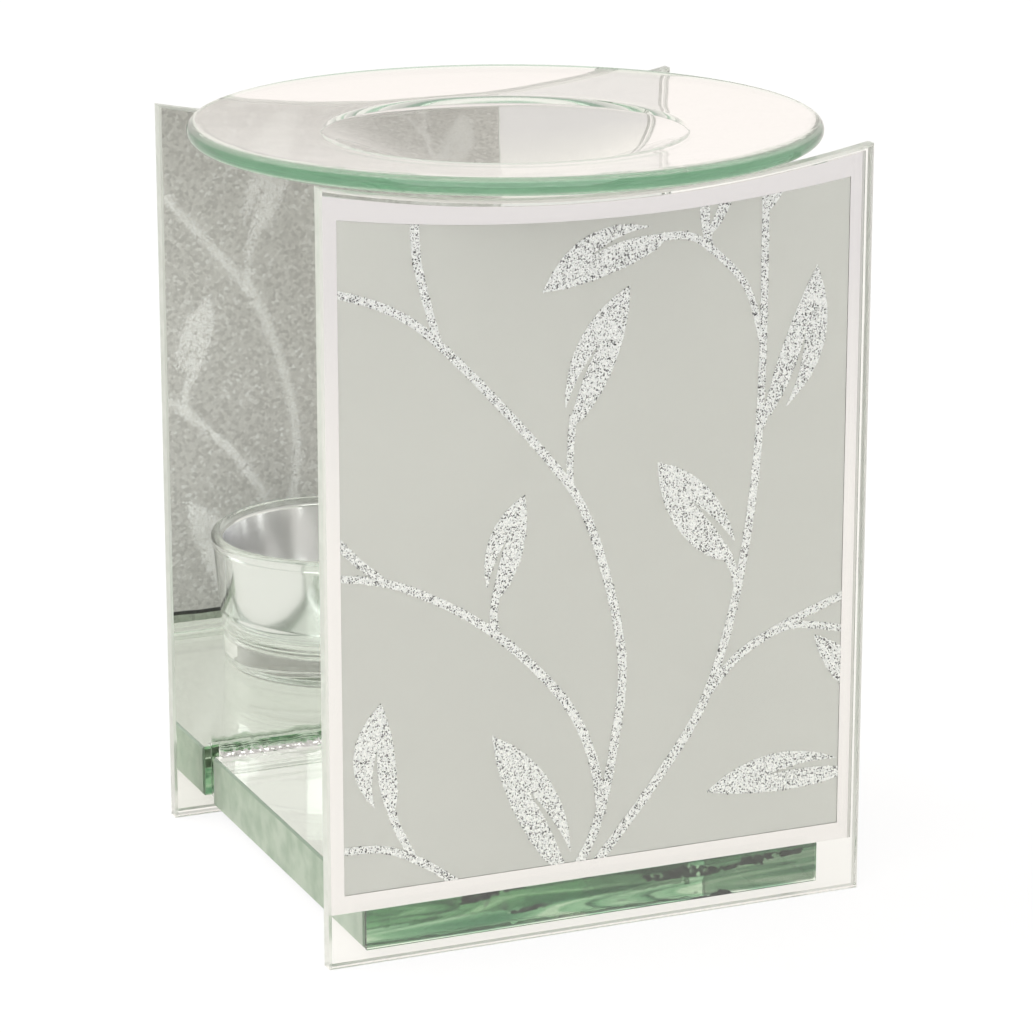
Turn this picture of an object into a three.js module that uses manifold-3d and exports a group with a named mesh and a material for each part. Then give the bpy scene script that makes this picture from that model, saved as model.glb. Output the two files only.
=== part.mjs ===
// Essential oil burner: two upright glass panels carry a round glass dish in their scooped top edges.
// A thick glass base plate is bonded between the panels, and a tealight cup stands loose on it.
// Millimetres, +Z up. The decorated front panel faces -Y, and the left and right sides are open.
// The origin is on the table, under the centre of the dish.

import * as THREE from "three";
import * as BufferGeometryUtils from "three/addons/utils/BufferGeometryUtils.js";
import Module from "manifold-3d";

const wasm = await Module();
wasm.setup();

// Glass panels
const panelWidth = 96.9;
const panelHeight = 130;
const panelThickness = 3;
const scoopDepth = 5;
const chamberDepth = 76;
const arris = 0.4;

// Silvered border on the rear of the front panel: how far it stays inside the glass
const silverSideInset = 0.7;
const silverTopInset = 1.3;
const silverBottom = 8.8;

// Satin field inside the border, with its own flatter scoop
const borderSide = 2.65;
const borderBottom = 3.05;
const borderTop = 2.7;
const fieldScoopDepth = 3.45;

// Layers on the rear of the front panel, from the glass inwards
const inlayThickness = 0.12;
const fieldThickness = 0.12;
const backingThickness = 0.2;
const coatGap = 0.05;

// Layers on the outside of the back panel
const mirrorInset = 0.6;
const mirrorThickness = 0.15;
const paintThickness = 0.2;

// Base plate and the adhesive that bonds it
const baseWidth = 83.2;
const baseThickness = 9.3;
const baseLift = 1.8;
const glueLine = 0.8;
const glueGap = 0.1;
const filmEndInset = 0.3;
const beadEndInset = 1.5;
const filletLeg = 1.8;

// Oil dish: a slumped disc of even thickness
const dishRadius = 53.5;
const dishThickness = 3;
const lipRadius = 31;
const wellDepth = 9;
const wellFullness = 1.4;
const flangeSlope = 0.09;
const dishLift = 0.3;

// Tealight cup: pressed glass on a thick foot, with a silver lining in its well
const cupRimRadius = 24;
const cupHeight = 25.6;
const cupTaper = 1.8;
const cupFootStep = 0.3;
const cupFootHeight = 6.6;
const cupFootEdge = 1.2;
const cupGroove = 0.6;
const cupWall = 2;
const cupDraft = 1.4;
const cupFloor = 6.75;
const cupWellCorner = 4;
const cupKickRadius = 16;
const cupKickHeight = 0.6;
const cupStandsForward = 4;
const cupLift = 0.3;
const liningThickness = 0.2;

// Facets
const arcSteps = 28;
const turnSteps = 64;
const bowlSteps = 10;
const flangeSteps = 3;
const edgeSteps = 5;
const cupTurnSteps = 48;
const stemSteps = 6;
const leafSteps = 8;

// Planes and edges that follow from the sizes above
const innerFace = chamberDepth / 2;
const outerFace = innerFace + panelThickness;
const panelHalf = panelWidth / 2;
const scoopMiddle = panelHeight - scoopDepth;
const silverHalf = panelHalf - silverSideInset;
const silverMiddle = scoopMiddle - silverTopInset;
const fieldHalf = silverHalf - borderSide;
const fieldBottom = silverBottom + borderBottom;
const fieldMiddle = silverMiddle - borderTop;
const fieldTop = fieldMiddle + fieldScoopDepth;
const inlayPlane = -innerFace + coatGap;
const fieldPlane = inlayPlane + inlayThickness + coatGap;
const silverThickness = fieldPlane + fieldThickness - inlayPlane;
const backingPlane = inlayPlane + silverThickness + coatGap;
const mirrorPlane = outerFace + coatGap;
const paintPlane = mirrorPlane + mirrorThickness + coatGap;
const baseTop = baseLift + baseThickness;
const baseReach = innerFace - glueLine;
const cupWaistRadius = cupRimRadius - cupTaper;
const cupFootRadius = cupWaistRadius - cupFootStep;

// The vine is drawn in units of this length on a field of this size, and laid out over the field in
// proportion.
const vineUnitLength = 1;
const drawnHalf = 45.1;
const drawnBottom = 11.85;
const drawnTop = 124.45;

// Points are [across from the middle, height]. A stem runs smoothly through its points, with a width
// at each end. A leaf runs from base to tip: a full lobe on one side, and on the other a slim lobe
// that a groove parts from it. slimSide is 1 where that is left of the way from base to tip.
const glitterShapes = {
  glitter_vine_left: {
    stems: [
      {
        points: [
          [-46, 112.8], [-36, 109], [-27, 102], [-10, 83.3], [-1.6, 70.5],
          [4.3, 48], [3, 31], [-0.2, 17.5], [-3.6, 11],
        ],
        width: [1.3, 1.6],
      },
      { points: [[-32, 125], [-31.5, 116], [-28.2, 103.6]], width: [1.7, 1.2] },
      { points: [[-46, 72.4], [-42.5, 68.7], [-38, 65]], width: [1.7, 1.1] },
      {
        points: [[-46, 66.1], [-35, 63.5], [-20, 54.8], [-6.7, 41.5], [-0.9, 30], [0.9, 19.5]],
        width: [1.2, 1.7],
      },
      { points: [[-5, 76.4], [-5.1, 82], [-4.5, 89]], width: [1, 1.3] },
      { points: [[-18.3, 53.6], [-18.6, 57], [-18, 61]], width: [1.5, 1.2] },
    ],
    leaves: [
      { base: [-4.7, 87.5], tip: [5.4, 109.6], fullWidth: 3.5, slimWidth: 3.5, slimSide: 1, bend: 0.5 },
      { base: [-18.3, 59.5], tip: [-13.1, 76.5], fullWidth: 2.8, slimWidth: 3.1, slimSide: 1, bend: 0.3 },
    ],
  },
  glitter_vine_right: {
    stems: [
      {
        points: [[-0.2, 11], [10.2, 23.4], [19.5, 37], [25, 54], [28.3, 74], [29.5, 95], [29.6, 125]],
        width: [1.7, 1.2],
      },
      { points: [[29.4, 98], [26.4, 107.5], [20.2, 114.2], [15.5, 117], [9.5, 117]], width: [1.1, 1.3] },
      { points: [[19.8, 114.6], [18.9, 118], [18.4, 125]], width: [1.1, 1.9] },
      { points: [[19.2, 117], [21, 119.2], [23.6, 125]], width: [0.9, 2.2] },
      { points: [[29.8, 120.3], [31, 121.8], [33, 125]], width: [1.1, 2] },
      { points: [[20, 38.4], [26, 44.4], [35, 49], [46, 52.9]], width: [1.6, 1.3] },
      { points: [[31.5, 47.4], [37, 48.4], [46, 46.6]], width: [1.1, 1.2] },
      { points: [[25.6, 55], [25, 58.8], [23, 63]], width: [1.2, 1.5] },
      { points: [[29, 82.5], [30.4, 86.5], [32, 90]], width: [1.1, 1.6] },
    ],
    leaves: [
      { base: [11.5, 117.2], tip: [-10, 109.8], fullWidth: 3.6, slimWidth: 3.4, slimSide: -1, bend: -1.6 },
      { base: [30.6, 85.6], tip: [39.2, 110], fullWidth: 2.6, slimWidth: 4, slimSide: -1, bend: -1.2 },
      { base: [24.2, 61.6], tip: [10.6, 79.4], fullWidth: 4.3, slimWidth: 3.6, slimSide: -1, bend: 0 },
    ],
  },
  glitter_spray_left: {
    stems: [
      { points: [[-46, 19.6], [-38, 18.9], [-31, 15.5], [-25, 11]], width: [1.2, 1.4] },
      { points: [[-37, 26.5], [-35.6, 22], [-33, 16.9]], width: [1.5, 1.2] },
    ],
    leaves: [
      { base: [-36.7, 25], tip: [-38.4, 44.2], fullWidth: 2.4, slimWidth: 4.2, slimSide: 1, bend: 0.8 },
    ],
  },
  glitter_leaf_centre: {
    stems: [],
    leaves: [
      { base: [-6, 10.5], tip: [-18.9, 36], fullWidth: 3.3, slimWidth: 4, slimSide: -1, bend: -0.4 },
    ],
  },
  glitter_leaf_right: {
    stems: [],
    leaves: [
      { base: [47, 21.3], tip: [20.2, 20.8], fullWidth: 2.6, slimWidth: 3.6, slimSide: -1, bend: -0.7 },
    ],
  },
  glitter_leaf_edge: {
    stems: [],
    leaves: [
      { base: [53, 33], tip: [40, 46.2], fullWidth: 2.4, slimWidth: 2.4, slimSide: -1, bend: 0.6 },
    ],
  },
};

// Points that shape every leaf: share of its length from the base, and share of its lobe's width.
const leafForm = {
  fullBase: [0, 0.1],
  fullSwell: [0.12, 0.75],
  fullCrown: [0.62, 1.15],
  slimCrown: [0.72, 1.1],
  slimSwell: [0.36, 1.1],
  slimEnd: [0.08, 0.46],
  grooveOutside: [0.36, 0.46],
  grooveEnd: [0.6, 0.1],
  grooveInside: [0.3, 0.26],
  slimBase: [0, 0.1],
};

// Points closer than this become one when a solid is made.
const weldDistance = 1e-4;

/** Rise of a panel's scooped edge above its middle, at a distance from the middle. */
function scoopRise(across, halfWidth, depth) {
  const radius = (halfWidth ** 2 + depth ** 2) / (2 * depth);
  return radius - Math.sqrt(radius ** 2 - across ** 2);
}

/** A panel outline: square at the bottom, with a concave arc along the top. */
function scoopedOutline(halfWidth, bottom, middle, depth, PathClass = THREE.Shape) {
  const radius = (halfWidth ** 2 + depth ** 2) / (2 * depth);
  const reach = Math.asin(halfWidth / radius);
  const down = -Math.PI / 2;
  const outline = new PathClass();
  outline.moveTo(-halfWidth, bottom);
  outline.lineTo(halfWidth, bottom);
  outline.lineTo(halfWidth, middle + depth);
  outline.absarc(0, middle + radius, radius, down + reach, down - reach, true);
  outline.closePath();
  return outline;
}

/** Settings that extrude an outline to a thickness, with its rims eased where asked. */
function extrusion(thickness, ease) {
  return {
    depth: thickness - 2 * ease,
    bevelEnabled: ease > 0,
    bevelThickness: ease,
    bevelSize: ease,
    bevelOffset: -ease,
    bevelSegments: 1,
    curveSegments: arcSteps,
  };
}

/** Stands an outline upright and extrudes it along +Y from a plane. */
function upright(outline, plane, thickness, ease = 0) {
  const geometry = new THREE.ExtrudeGeometry(outline, extrusion(thickness, ease));
  geometry.rotateX(Math.PI / 2);
  geometry.translate(0, plane + thickness - ease, 0);
  return geometry;
}

/** Extrudes an outline that lies in the YZ plane along X, to both sides of the middle. */
function alongWidth(outline, width, ease = 0) {
  const geometry = new THREE.ExtrudeGeometry(outline, extrusion(width, ease));
  geometry.translate(0, 0, ease - width / 2);
  const turn = new THREE.Matrix4().makeBasis(
    new THREE.Vector3(0, 1, 0),
    new THREE.Vector3(0, 0, 1),
    new THREE.Vector3(1, 0, 0),
  );
  geometry.applyMatrix4(turn);
  return geometry;
}

/** Turns a profile, whose points are radius and height, about the Z axis. */
function turned(profile, steps) {
  const geometry = new THREE.LatheGeometry(profile, steps);
  geometry.rotateX(Math.PI / 2);
  return geometry;
}

/** Makes a closed solid of a geometry, for joining and cutting. */
function solidOf(geometry) {
  const bare = geometry.clone();
  bare.deleteAttribute("normal");
  bare.deleteAttribute("uv");
  const merged = BufferGeometryUtils.mergeVertices(bare, weldDistance);
  return new wasm.Manifold(new wasm.Mesh({
    numProp: 3,
    vertProperties: new Float32Array(merged.attributes.position.array),
    triVerts: new Uint32Array(merged.index.array),
  }));
}

/** Gives a solid back as a geometry. */
function geometryOf(solid) {
  const mesh = solid.getMesh();
  const geometry = new THREE.BufferGeometry();
  geometry.setAttribute("position", new THREE.BufferAttribute(new Float32Array(mesh.vertProperties), 3));
  geometry.setIndex(new THREE.BufferAttribute(new Uint32Array(mesh.triVerts), 1));
  geometry.computeVertexNormals();
  return geometry;
}

/** Places a drawn vine point on the field. */
function onField(across, height) {
  const shareAcross = across * vineUnitLength / drawnHalf;
  const shareUp = (height * vineUnitLength - drawnBottom) / (drawnTop - drawnBottom);
  return new THREE.Vector2(shareAcross * fieldHalf, THREE.MathUtils.lerp(fieldBottom, fieldTop, shareUp));
}

/** A stem's outline: a smooth curve with half its width laid off on each side. */
function stemOutline({ points, width }) {
  const curve = new THREE.SplineCurve(points.map(([across, height]) => onField(across, height)));
  const steps = stemSteps * (points.length - 1);
  const left = [];
  const right = [];
  for (let step = 0; step <= steps; step += 1) {
    const share = step / steps;
    const half = THREE.MathUtils.lerp(width[0], width[1], share) * vineUnitLength / 2;
    const at = curve.getPoint(share);
    const along = curve.getTangent(share);
    left.push(new THREE.Vector2(at.x - along.y * half, at.y + along.x * half));
    right.push(new THREE.Vector2(at.x + along.y * half, at.y - along.x * half));
  }
  return new THREE.Shape([...right, ...left.reverse()]);
}

/** A leaf's outline: full lobe, slim lobe and the groove between them, bent along the midrib. */
function leafOutline({ base, tip, fullWidth, slimWidth, slimSide, bend }) {
  const from = onField(...base);
  const way = onField(...tip).sub(from);
  const length = way.length();
  way.normalize();
  const bezierReach = 4 / 3 * vineUnitLength;
  const onFull = ([along, side]) => [along * length, -slimSide * side * fullWidth * bezierReach];
  const onSlim = ([along, side]) => [along * length, slimSide * side * slimWidth * bezierReach];
  const local = new THREE.Path();
  local.moveTo(...onFull(leafForm.fullBase));
  local.bezierCurveTo(...onFull(leafForm.fullSwell), ...onFull(leafForm.fullCrown), length, 0);
  local.bezierCurveTo(
    ...onSlim(leafForm.slimCrown), ...onSlim(leafForm.slimSwell), ...onSlim(leafForm.slimEnd));
  local.quadraticCurveTo(...onSlim(leafForm.grooveOutside), ...onSlim(leafForm.grooveEnd));
  local.quadraticCurveTo(...onSlim(leafForm.grooveInside), ...onSlim(leafForm.slimBase));
  const points = local.getPoints(leafSteps).map((point) => {
    const share = point.x / length;
    const side = point.y + bend * vineUnitLength * 4 * share * (1 - share);
    const across = new THREE.Vector2(-way.y, way.x).multiplyScalar(side);
    return way.clone().multiplyScalar(point.x).add(across).add(from);
  });
  return new THREE.Shape(points);
}

/** One glitter shape: its stems and leaves joined, and cut off where the field ends. */
function glitterGeometry({ stems, leaves }, fieldOutline) {
  const outlines = [...stems.map(stemOutline), ...leaves.map(leafOutline)];
  const solids = outlines.map((outline) => solidOf(upright(outline, inlayPlane, inlayThickness)));
  const joined = solids.reduce((all, next) => all.add(next));
  return geometryOf(joined.intersect(solidOf(upright(fieldOutline, inlayPlane, inlayThickness))));
}

/** Upright section of the base plate, with its four long edges eased. */
function baseOutline() {
  const outline = new THREE.Shape();
  outline.moveTo(-baseReach + arris, baseLift);
  outline.lineTo(baseReach - arris, baseLift);
  outline.lineTo(baseReach, baseLift + arris);
  outline.lineTo(baseReach, baseTop - arris);
  outline.lineTo(baseReach - arris, baseTop);
  outline.lineTo(-baseReach + arris, baseTop);
  outline.lineTo(-baseReach, baseTop - arris);
  outline.lineTo(-baseReach, baseLift + arris);
  outline.closePath();
  return outline;
}

/** Section of the front adhesive: a film between the clear foot of the front glass and the plate. */
function frontGlueOutline() {
  const atGlass = -innerFace + glueGap;
  const atPlate = -baseReach - glueGap;
  const outline = new THREE.Shape();
  outline.moveTo(atGlass, baseLift);
  outline.lineTo(atPlate, baseLift);
  outline.lineTo(atPlate, silverBottom - glueGap);
  outline.lineTo(atGlass, silverBottom - glueGap);
  outline.closePath();
  return outline;
}

/** Section of the back adhesive: a film behind the plate that ends in a hollow fillet on top of it. */
function backGlueOutline() {
  const atGlass = innerFace - glueGap;
  const atPlate = baseReach + glueGap;
  const onPlate = baseTop + glueGap;
  const outline = new THREE.Shape();
  outline.moveTo(atPlate, baseLift);
  outline.lineTo(atGlass, baseLift);
  outline.lineTo(atGlass, onPlate + filletLeg);
  outline.quadraticCurveTo(atGlass, onPlate, atPlate - filletLeg, onPlate);
  outline.lineTo(atPlate, onPlate);
  outline.closePath();
  return outline;
}

/** Height of the dish's upper face above its lip: a bowl that eases out into a rising flange. */
function dishHeight(radius) {
  if (radius < lipRadius) {
    return -wellDepth * (1 - (radius / lipRadius) ** 2) ** wellFullness;
  }
  return flangeSlope * (radius - lipRadius);
}

/** Section of the dish: the upper face, a round rim, and the lower face one thickness below. */
function dishProfile() {
  const tilt = Math.atan(flangeSlope);
  const rimRadius = dishThickness / 2;
  const flangeEnd = dishRadius - rimRadius * (1 + Math.sin(tilt));
  const radii = [];
  for (let step = 0; step < bowlSteps; step += 1) {
    radii.push(lipRadius * Math.sin(step / bowlSteps * Math.PI / 2));
  }
  for (let step = 0; step <= flangeSteps; step += 1) {
    radii.push(THREE.MathUtils.lerp(lipRadius, flangeEnd, step / flangeSteps));
  }
  const upper = radii.map((radius) => new THREE.Vector2(radius, dishHeight(radius)));
  const nudge = 0.01;
  const lower = upper.map(({ x, y }) => {
    const slope = x > 0 ? (dishHeight(x + nudge) - dishHeight(x - nudge)) / (2 * nudge) : 0;
    const stretch = dishThickness / Math.hypot(1, slope);
    return new THREE.Vector2(x + slope * stretch, y - stretch);
  });
  const rimCentre = upper.at(-1).clone().add(lower.at(-1)).multiplyScalar(0.5);
  const rim = [];
  for (let step = 1; step < edgeSteps; step += 1) {
    const angle = tilt + Math.PI * (step / edgeSteps - 0.5);
    rim.push(new THREE.Vector2(Math.cos(angle), Math.sin(angle)).multiplyScalar(rimRadius).add(rimCentre));
  }
  return { outline: [...lower, ...rim, ...upper.reverse()], rimCentre };
}

/** Height of the dish's lip when its rim rests in the scoops, at the inner corners of the panels. */
function dishSeat({ rimCentre }) {
  const across = Math.sqrt(rimCentre.x ** 2 - innerFace ** 2);
  const scoop = scoopMiddle + scoopRise(across, panelHalf, scoopDepth);
  const underRim = dishThickness / 2 * Math.hypot(1, flangeSlope);
  return scoop + dishLift + underRim - rimCentre.y;
}

/** Continues a section down the cup's well to the axis, drawn in from the glass by an inset. */
function addWell(profile, inset) {
  const wellRadius = cupRimRadius - cupWall - cupDraft - inset;
  const floor = cupFloor + inset;
  profile.lineTo(wellRadius, floor + cupWellCorner);
  profile.quadraticCurveTo(wellRadius, floor, wellRadius - cupWellCorner, floor);
  profile.lineTo(0, floor);
}

/** Section of the cup: hollowed underside, foot, groove, drafted wall, round rim and rounded well. */
function cupProfile() {
  const rimRadius = cupWall / 2;
  const rimHeight = cupHeight - rimRadius;
  const profile = new THREE.Path();
  profile.moveTo(0, cupKickHeight);
  profile.lineTo(cupKickRadius, cupKickHeight);
  profile.lineTo(cupKickRadius + cupKickHeight, 0);
  profile.lineTo(cupFootRadius - cupFootEdge, 0);
  profile.absarc(cupFootRadius - cupFootEdge, cupFootEdge, cupFootEdge, -Math.PI / 2, 0, false);
  profile.lineTo(cupFootRadius, cupFootHeight - cupGroove);
  profile.quadraticCurveTo(
    cupFootRadius - cupGroove, cupFootHeight, cupWaistRadius, cupFootHeight + cupGroove);
  profile.lineTo(cupRimRadius - cupGroove / 2, rimHeight - rimRadius);
  profile.quadraticCurveTo(cupRimRadius, rimHeight - rimRadius, cupRimRadius, rimHeight);
  profile.absarc(cupRimRadius - rimRadius, rimHeight, rimRadius, 0, Math.PI, false);
  addWell(profile, 0);
  return profile.getPoints(edgeSteps);
}

/** Section of the lining: the well's own curve, a gap in from the glass and again one thickness further. */
function liningProfile() {
  const [outside, inside] = [coatGap, coatGap + liningThickness].map((inset) => {
    const section = new THREE.Path();
    section.moveTo(cupRimRadius - cupWall - inset, cupHeight - cupWall / 2);
    addWell(section, inset);
    return section.getPoints(edgeSteps);
  });
  return [...outside.reverse(), ...inside];
}

const clearGlass = { color: "#eef5f0", roughness: 0.03, metalness: 0 };
const greenGlass = { color: "#a9cdb4", roughness: 0.03, metalness: 0 };
const silver = { color: "#e9e5e6", roughness: 0.05, metalness: 1 };
const satinInk = { color: "#cfcfc7", roughness: 0.7, metalness: 0 };
const glitter = { color: "#d9d9d6", roughness: 0.35, metalness: 0.8 };
const greyGlitter = { color: "#b3b4ae", roughness: 0.5, metalness: 0.4 };
const backPaint = { color: "#8f9492", roughness: 0.8, metalness: 0 };
const adhesive = { color: "#cfe3d2", roughness: 0.1, metalness: 0 };

/** Adds a named piece to a group, with a material of its own. */
function addPiece(group, name, geometry, finish) {
  const mesh = new THREE.Mesh(geometry, new THREE.MeshStandardMaterial(finish));
  mesh.name = name;
  group.add(mesh);
  return mesh;
}

/** The front panel: clear glass with a silvered border, a satin field, glitter vines and a backing. */
function frontPanel() {
  const group = new THREE.Group();
  const silverDepth = scoopRise(silverHalf, panelHalf, scoopDepth);
  const silverShape = () => scoopedOutline(silverHalf, silverBottom, silverMiddle, silverDepth);
  const fieldShape = (inset, PathClass) => scoopedOutline(
    fieldHalf - inset, fieldBottom + inset, fieldMiddle - inset, fieldScoopDepth, PathClass);
  const glass = scoopedOutline(panelHalf, 0, scoopMiddle, scoopDepth);
  const border = silverShape();
  border.holes.push(fieldShape(0, THREE.Path));
  addPiece(group, "front_glass", upright(glass, -outerFace, panelThickness, arris), clearGlass);
  addPiece(group, "front_silver_border", upright(border, inlayPlane, silverThickness), silver);
  addPiece(group, "front_satin_field", upright(fieldShape(coatGap), fieldPlane, fieldThickness), satinInk);
  const backing = upright(silverShape(), backingPlane, backingThickness);
  addPiece(group, "front_glitter_backing", backing, greyGlitter);
  for (const [name, drawing] of Object.entries(glitterShapes)) {
    addPiece(group, name, glitterGeometry(drawing, fieldShape(coatGap)), glitter);
  }
  return group;
}

/** The back panel: a mirror, silvered and painted on its outside, that faces into the chamber. */
function backPanel() {
  const group = new THREE.Group();
  const half = panelHalf - mirrorInset;
  const depth = scoopRise(half, panelHalf, scoopDepth);
  const coatShape = () => scoopedOutline(half, mirrorInset, scoopMiddle - mirrorInset, depth);
  const glass = scoopedOutline(panelHalf, 0, scoopMiddle, scoopDepth);
  addPiece(group, "back_glass", upright(glass, innerFace, panelThickness, arris), clearGlass);
  addPiece(group, "back_silvering", upright(coatShape(), mirrorPlane, mirrorThickness), silver);
  addPiece(group, "back_paint", upright(coatShape(), paintPlane, paintThickness), backPaint);
  return group;
}

/** The base plate, which holds the panels apart, and its two bonds. */
function basePlate() {
  const group = new THREE.Group();
  const filmWidth = baseWidth - 2 * filmEndInset;
  const beadWidth = baseWidth - 2 * beadEndInset;
  addPiece(group, "base_plate", alongWidth(baseOutline(), baseWidth, arris), greenGlass);
  addPiece(group, "front_glue_film", alongWidth(frontGlueOutline(), filmWidth), adhesive);
  addPiece(group, "back_glue_bead", alongWidth(backGlueOutline(), beadWidth), adhesive);
  return group;
}

const burner = new THREE.Group();
burner.add(frontPanel(), backPanel(), basePlate());

const cup = addPiece(burner, "tealight_cup", turned(cupProfile(), cupTurnSteps), clearGlass);
const lining = addPiece(burner, "cup_silvering", turned(liningProfile(), cupTurnSteps), silver);
for (const piece of [cup, lining]) {
  piece.position.set(0, -cupStandsForward, baseTop + cupLift);
}

const dishSection = dishProfile();
const dish = addPiece(burner, "oil_dish", turned(dishSection.outline, turnSteps), clearGlass);
dish.position.z = dishSeat(dishSection);

export default burner;
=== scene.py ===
"""Looks of the essential oil burner: glass, silvering, print, glitter, adhesive and studio.

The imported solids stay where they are. A piece that needs finer curves than its solid has is worked out
here with numpy, in the same frame and in metres, and stands in for that solid.
"""

import logging
import math
from dataclasses import dataclass
from enum import Enum

import bpy
import numpy as np
from bpy.types import ID, Material, Node, NodeSocket, NodeTree, Object
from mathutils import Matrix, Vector


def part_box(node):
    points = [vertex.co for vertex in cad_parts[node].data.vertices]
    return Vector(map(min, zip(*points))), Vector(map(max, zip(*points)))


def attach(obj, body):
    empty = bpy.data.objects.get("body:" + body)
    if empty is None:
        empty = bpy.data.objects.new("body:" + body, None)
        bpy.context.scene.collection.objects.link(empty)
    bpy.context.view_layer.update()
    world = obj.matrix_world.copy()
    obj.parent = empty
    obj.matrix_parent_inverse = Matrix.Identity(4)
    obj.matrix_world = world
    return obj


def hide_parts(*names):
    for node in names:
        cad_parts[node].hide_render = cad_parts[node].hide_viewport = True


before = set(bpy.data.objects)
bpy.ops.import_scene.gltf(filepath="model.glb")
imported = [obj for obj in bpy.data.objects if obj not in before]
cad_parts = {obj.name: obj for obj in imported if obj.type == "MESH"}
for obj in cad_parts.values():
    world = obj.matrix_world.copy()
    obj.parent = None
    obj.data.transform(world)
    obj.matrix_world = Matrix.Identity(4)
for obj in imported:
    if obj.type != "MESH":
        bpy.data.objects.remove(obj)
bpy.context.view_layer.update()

LOG = logging.getLogger("oil_burner")
MM = 0.001
CLEAR = "#FDFFFE"
# Sockets of a Mix node for colours, by number because other kinds of value have the same names.
COLOUR_A, COLOUR_B, MIXED = 6, 7, 2

Colour = tuple[float, float, float, float]
Stops = tuple[tuple[float, str], ...]
Place = tuple[float, float, float]
Feed = Node | NodeSocket


class Body(Enum):
    """The rigid bodies that a piece can ride on."""

    STAND = "stand"
    CUP = "cup"
    DISH = "dish"


class Facing(Enum):
    """Which way a scatter of flakes looks: out through the front glass, or into the chamber."""

    OUTWARDS = -1
    INWARDS = 1


class Cut(Enum):
    """Which edges of a sheet of glass are cut and seamed, as the axis that crosses them.

    An upright sheet is cut all round, between its two faces. A lying one is cut at its two ends.
    """

    ALL_ROUND = "Y"
    ENDS = "X"


def linear(colour: str) -> Colour:
    """Turns an sRGB hex colour into linear light.

    Args:
        colour: six hex digits after a hash sign.

    Returns:
        Red, green, blue and an alpha of one.
    """
    encoded = np.array([int(colour[at:at + 2], 16) for at in (1, 3, 5)]) / 255
    # The sRGB curve: a straight toe, then a power.
    low, high = encoded / 12.92, ((encoded + 0.055) / 1.055) ** 2.4
    red, green, blue = np.where(encoded <= 0.04045, low, high)
    return float(red), float(green), float(blue), 1.0


def add_node(
    tree: NodeTree, kind: str, inputs: dict | None = None, stops: Stops = (), **settings: object
) -> Node:
    """Adds a node, sets its properties, and fills or links its sockets.

    Args:
        tree: node tree to add to.
        kind: type name of the node, without the ShaderNode in front.
        inputs: socket name or number to a value, or to what feeds it: an output, or a node for its first.
        stops: place from zero to one and hex colour of each stop in order, where the node has a ramp.
        settings: properties of the node.

    Returns:
        The new node.
    """
    node = tree.nodes.new(f"ShaderNode{kind}")
    for name, value in settings.items():
        setattr(node, name, value)
    for number, (place, colour) in enumerate(stops):
        elements = node.color_ramp.elements
        element = elements[number] if number < len(elements) else elements.new(1.0)
        element.position = place
        element.color = linear(colour)
    for key, value in (inputs or {}).items():
        if isinstance(value, Node):
            value = value.outputs[0]
        if isinstance(value, NodeSocket):
            tree.links.new(value, node.inputs[key])
        else:
            node.inputs[key].default_value = value
    return node


def sized(place: NodeSocket, size_mm: float) -> dict:
    """Inputs of a texture whose features are so many millimetres wide, at a place on a piece."""
    return {"Vector": place, "Scale": 1 / (size_mm * MM)}


def place_on(tree: NodeTree) -> NodeSocket:
    """Place on a piece in the shared frame, or in the surroundings the way that a ray goes."""
    return add_node(tree, "TexCoord").outputs["Object"]


def mixed_colour(
    tree: NodeTree, share: float | Feed, first: Colour | Feed, second: Colour | Feed, **settings: object
) -> NodeSocket:
    """Mixes two colours, each given as it is or by what feeds it.

    Args:
        tree: node tree to add to.
        share: how much of the second colour shows, from zero to one.
        first: colour at no share.
        second: colour at the full share.
        settings: properties of the node, such as another way to blend.

    Returns:
        The socket that gives the colour.
    """
    inputs = {"Factor": share, COLOUR_A: first, COLOUR_B: second}
    return add_node(tree, "Mix", inputs, data_type="RGBA", **settings).outputs[MIXED]


def empty_tree(name: str) -> tuple[Material, NodeTree]:
    """Makes a material with no nodes.

    Args:
        name: name of the material.

    Returns:
        The material and its node tree.
    """
    material = bpy.data.materials.new(name)
    material.use_nodes = True
    material.node_tree.nodes.clear()
    return material, material.node_tree


def mesh_piece(name: str, points: np.ndarray, faces: list, material: Material, smooth: bool) -> Object:
    """Makes an object at the origin from points in metres.

    Args:
        name: name of the piece.
        points: vertices, one row each.
        faces: vertex numbers of each face.
        material: finish of the piece.
        smooth: whether faces shade into each other.

    Returns:
        The new object.
    """
    mesh = bpy.data.meshes.new(name)
    mesh.from_pydata(points.tolist(), [], faces)
    mesh.materials.append(material)
    mesh.polygons.foreach_set("use_smooth", np.full(len(mesh.polygons), smooth))
    mesh.update()
    piece = bpy.data.objects.new(name, mesh)
    bpy.context.scene.collection.objects.link(piece)
    LOG.info("%s: %d vertices, %d faces", name, len(mesh.vertices), len(mesh.polygons))
    return piece


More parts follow.
